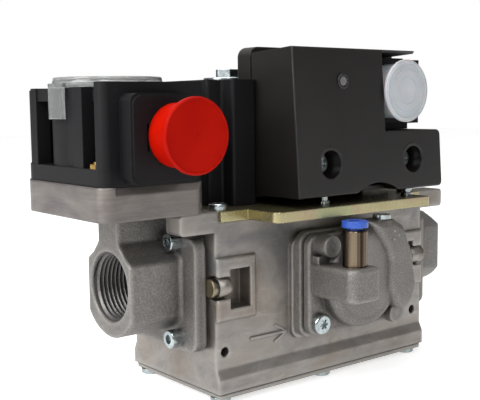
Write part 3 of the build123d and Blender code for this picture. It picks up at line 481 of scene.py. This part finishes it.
sky.links.new(sky_path.outputs["Is Camera Ray"], sky_mix.inputs["Fac"])
sky.links.new(sky.nodes["Background"].outputs["Background"], sky_mix.inputs[1])
sky.links.new(sky_white.outputs["Background"], sky_mix.inputs[2])
sky.links.new(sky_mix.outputs["Shader"], sky.nodes["World Output"].inputs["Surface"])
sky_white.inputs["Color"].default_value = (1, 1, 1, 1)
bpy.context.scene.world = world
bpy.context.scene.view_settings.view_transform = "Standard"


def area_light(name, place, target, watts, width, height):
    """Soft lamp that faces a target."""
    data = bpy.data.lights.new(name, "AREA")
    data.shape = "RECTANGLE"
    data.size = width
    data.size_y = height
    data.energy = watts
    lamp = bpy.data.objects.new(name, data)
    lamp.location = place
    direction = Vector(target) - Vector(place)
    lamp.rotation_euler = direction.to_track_quat("-Z", "Y").to_euler()
    bpy.context.scene.collection.objects.link(lamp)


area_light("key", (-0.75, 0.05, 0.5), (0.04, 0, 0.02), 11, 0.5, 0.7)
area_light("front", (-0.55, -0.8, 0.6), (0.07, 0, 0.02), 5, 0.35, 0.5)
area_light("top", (0.1, 0.05, 1.1), (0.07, 0, 0.02), 7, 0.6, 0.6)

# --- camera -----------------------------------------------------------------
CAMERA_PLACE = (-0.16539, -0.28702, 0.06779)
yaw, pitch, roll = math.radians(38.53), math.radians(6.17), math.radians(-0.66)
ahead = Vector((math.sin(yaw) * math.cos(pitch), math.cos(yaw) * math.cos(pitch), -math.sin(pitch)))
right = Vector((math.cos(yaw), -math.sin(yaw), 0))
up = right.cross(ahead)
right, up = right * math.cos(roll) + up * math.sin(roll), up * math.cos(roll) - right * math.sin(roll)
camera_data = bpy.data.cameras.new("camera")
camera_data.sensor_fit = "HORIZONTAL"
camera_data.sensor_width = 36
camera_data.lens = 66.18
camera_data.clip_start = 0.01
camera = bpy.data.objects.new("camera", camera_data)
turn = Matrix((right, up, -ahead)).transposed().to_4x4()
camera.matrix_world = Matrix.Translation(Vector(CAMERA_PLACE)) @ turn
bpy.context.scene.collection.objects.link(camera)
bpy.context.scene.camera = camera


# --- pieces that the solids leave out ---------------------------------------
def piece(name, verts, faces, body, slot, smooth=True):
    """New mesh object from points in metres, riding on a body."""
    mesh = bpy.data.meshes.new(name)
    mesh.from_pydata([tuple(v) for v in verts], [], faces)
    mesh.validate()
    work = bmesh.new()
    work.from_mesh(mesh)
    bmesh.ops.recalc_face_normals(work, faces=work.faces)
    work.to_mesh(mesh)
    work.free()
    if smooth:
        mesh.shade_smooth()
    item = bpy.data.objects.new(name, mesh)
    bpy.context.scene.collection.objects.link(item)
    mesh.materials.append(MATERIALS[slot])
    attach(item, body)
    return item


def swept_ring(sections, closed):
    """Verts and faces that join equal-length sections one after another."""
    verts = [p for section in sections for p in section]
    count = len(sections[0])
    faces = []
    total = len(sections) if closed else len(sections) - 1
    for i in range(total):
        a, b = i * count, ((i + 1) % len(sections)) * count
        for j in range(count):
            k = (j + 1) % count
            faces.append((a + j, a + k, b + k, b + j))
    if not closed:
        faces.append(tuple(range(count)))
        faces.append(tuple(reversed(range(len(verts) - count, len(verts)))))
    return verts, faces


def pipe_thread(name, start_x, direction):
    """Helical ridge of a 3/4 inch pipe thread, closed at both ends."""
    pitch, major, minor, steps, turns = 1.814, 13.3, 12.08, 72, 8.8
    first_turn_at = 0.75
    taper_steps, least_height = steps * 0.4, 0.04
    flank = [(0.9, 0.0), (0.72, 0.12), (0.3, 0.86), (0.12, 1.0)]
    profile = [(-offset, height) for offset, height in flank] + flank[::-1]
    sections = []
    count = int(steps * turns)
    for i in range(count + 1):
        angle = 2 * math.pi * i / steps
        grow = min(1.0, i / taper_steps + least_height, (count - i) / taper_steps + least_height)
        along = first_turn_at + pitch * i / steps
        section = []
        for offset, height in profile:
            radius = major - (major - minor) * height * grow
            x = start_x + direction * (along + offset)
            section.append((x * MM, radius * math.cos(angle) * MM, radius * math.sin(angle) * MM))
        sections.append(section)
    verts, faces = swept_ring(sections, False)
    return piece(name, verts, faces, "valve_body", "flange_alloy")


for thread_name, thread_x, thread_way in (("inlet_thread", 0.0, 1), ("outlet_thread", VALVE_LENGTH, -1)):
    dress(pipe_thread(thread_name, thread_x, thread_way), thread_metal())


def lathe_y(name, x, z, profile, body, slot, steps=96):
    """Closed ring turned about an axis along Y; profile points are (radius, y)."""
    sections = []
    for i in range(steps):
        angle = 2 * math.pi * i / steps
        sections.append([
            ((x + r * math.cos(angle)) * MM, y * MM, (z + r * math.sin(angle)) * MM) for r, y in profile
        ])
    verts, faces = swept_ring(sections, True)
    return piece(name, verts, faces, body, slot)


# moulded rings on the white cap's face and the raised rim and gate mark of the red one
for number, (inner, outer, proud) in enumerate(((10.9, 12.3, 0.2), (8.6, 9.4, 0.11), (5.2, 5.9, 0.13))):
    foot, shoulder = WHITE_CAP_FRONT + 0.1, WHITE_CAP_FRONT - proud * 0.8
    ring = [
        (inner, foot), (inner + 0.12, shoulder), ((inner + outer) / 2, WHITE_CAP_FRONT - proud),
        (outer - 0.12, shoulder), (outer, foot),
    ]
    lathe_y(f"white_cap_ring_{number}", *WHITE_CAP, ring, "white_dust_cap", "milky_plastic")
red_rim = [(11.95, 0), (12.1, -0.32), (12.45, -0.4), (12.75, -0.3), (12.85, 0)]
red_gate = [(0.05, 0), (0.05, -0.5), (0.4, -0.45), (0.62, 0)]
for name, outline, steps in (("red_cap_rim", red_rim, 96), ("red_cap_gate", red_gate, 24)):
    outline = [(radius, RED_CAP_FRONT + y) for radius, y in outline]
    lathe_y(name, *RED_CAP, outline, "red_dust_cap", "red_plastic", steps)


def lathe_z(name, x, y, profile, body, slot, steps=96):
    """Closed ring turned about an upright axis; profile points are (radius, z)."""
    sections = []
    for i in range(steps):
        angle = 2 * math.pi * i / steps
        sections.append([
            ((x + r * math.cos(angle)) * MM, (y + r * math.sin(angle)) * MM, z * MM) for r, z in profile
        ])
    verts, faces = swept_ring(sections, True)
    return piece(name, verts, faces, body, slot)


# bezel round the indicator lens, and the raised rim of the clear cover
bezel = [(2.0, 0), (2.0, -0.65), (2.5, -0.8), (3.0, -0.6), (3.2, 0)]
bezel = [(radius, LENS_FRONT + y) for radius, y in bezel]
lathe_y("lens_bezel", *LENS, bezel, "valve_body", "dark_plastic", 48)
rim = [(18.9, -0.55), (19.05, -0.15), (19.5, 0), (19.95, -0.2), (20.1, -1.0)]
rim = [(radius, COVER_TOP + z) for radius, z in rim]
lathe_z("cover_rim", *DIAL, rim, "dial_cover", "clear_plastic")


def dial_ticks(name, count, inner, outer, width):
    """Raised scale marks round the dial, every fifth one longer."""
    verts, faces = [], []
    for i in range(count):
        angle = DIAL_START + DIAL_SWEEP * i / (count - 1)
        reach = outer if i % 5 == 0 else outer - 1.0
        along = Vector((math.cos(angle), math.sin(angle), 0))
        across = Vector((-math.sin(angle), math.cos(angle), 0)) * width / 2
        base = len(verts)
        for z in (DIAL_TOP - 0.25, DIAL_TOP):
            for radius, side in ((inner, -1), (reach, -1), (reach, 1), (inner, 1)):
                point = Vector((*DIAL, z)) + along * radius + across * side
                verts.append(point * MM)
        faces += [(base, base + 1, base + 2, base + 3), (base + 4, base + 5, base + 6, base + 7)]
        faces += [(base + j, base + (j + 1) % 4, base + 4 + (j + 1) % 4, base + 4 + j) for j in range(4)]
    return piece(name, verts, faces, "dial", "black_plastic", False)


def dial_number(value, angle, radius):
    """Raised number on the dial that reads from the dial's edge."""
    name = f"dial_number_{value}"
    label = bpy.data.curves.new(name, "FONT")
    label.body = str(value)
    label.size = 2.4 * MM
    label.extrude = 0.12 * MM
    label.align_x = "CENTER"
    label.align_y = "CENTER"
    text = bpy.data.objects.new(f"{name}_text", label)
    bpy.context.scene.collection.objects.link(text)
    bpy.context.view_layer.update()
    mesh = bpy.data.meshes.new_from_object(text)
    bpy.data.objects.remove(text)
    x = DIAL[0] + radius * math.cos(angle)
    y = DIAL[1] + radius * math.sin(angle)
    place = Matrix.Translation(Vector((x, y, DIAL_TOP - 0.07)) * MM)
    mesh.transform(place @ Matrix.Rotation(angle - math.pi / 2, 4, "Z"))
    work = bmesh.new()
    work.from_mesh(mesh)
    bmesh.ops.remove_doubles(work, verts=work.verts, dist=1e-7)
    work.to_mesh(mesh)
    work.free()
    item = bpy.data.objects.new(name, mesh)
    bpy.context.scene.collection.objects.link(item)
    dress(item, MATERIALS["black_plastic"])
    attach(item, "dial")


# setting scale of the dial: ticks and plain numbers
DIAL_START = math.radians(-225)
DIAL_SWEEP = math.radians(270)
LAST_NUMBER = 6
dial_ticks("dial_scale", 31, 10.2, 13.4, 0.28)
for number in range(1, LAST_NUMBER + 1):
    dial_number(number, DIAL_START + DIAL_SWEEP * (number - 1) / (LAST_NUMBER - 1), 8.2)


def round_pad(name, centre, normal, radius, height, slot):
    """Low domed disc on a flat face."""
    normal = Vector(normal)
    side = normal.orthogonal().normalized()
    other = normal.cross(side)
    rings = [(1.0, -0.3), (1.0, 0.6), (0.93, 0.9), (0.8, 1.0), (0.35, 1.0)]
    verts, faces = [], []
    steps = 40
    for scale, rise in rings:
        for i in range(steps):
            a = 2 * math.pi * i / steps
            spot = Vector(centre) + (side * math.cos(a) + other * math.sin(a)) * radius * scale
            verts.append((spot + normal * height * rise) * MM)
    for r in range(len(rings) - 1):
        for i in range(steps):
            k = (i + 1) % steps
            faces.append((r * steps + i, r * steps + k, (r + 1) * steps + k, (r + 1) * steps + i))
    faces.append(tuple(range(steps)))
    faces.append(tuple(range((len(rings) - 1) * steps, len(rings) * steps)))
    return piece(name, verts, faces, "valve_body", slot)


# ejector marks on the back of the body, and small casting beads on the servo lobe
for number, (x, z) in enumerate(((58.0, 15.5), (64.0, -30.0), (128.0, 18.0), (132.0, -30.0))):
    round_pad(f"ejector_mark_{number}", (x, BODY_BACK, z), (0, 1, 0), 2.6, 0.35, "cast_alloy")
for number, (x, z) in enumerate(((106.9, 15.6), (109.4, 13.7), (106.6, 12.4))):
    round_pad(f"lobe_mark_{number}", (x, LOBE_FRONT, z), (0, -1, 0), 0.55, 0.25, "flange_alloy")

# shanks behind the four side pins, in their grooves
PIN_END, SHANK_RADIUS, SHANK_LENGTH, SHANK_OUT, SHANK_Z = 31.0, 3.9, 4.6, 26.8, -0.4
for number, (side, way) in enumerate(((-1, 1), (-1, -1), (1, 1), (1, -1))):
    shank_x = PIN_END if way > 0 else VALVE_LENGTH - PIN_END
    centre = (shank_x, side * SHANK_OUT, SHANK_Z)
    round_pad(f"pin_shank_{number}", centre, (way, 0, 0), SHANK_RADIUS, SHANK_LENGTH, "cast_alloy")
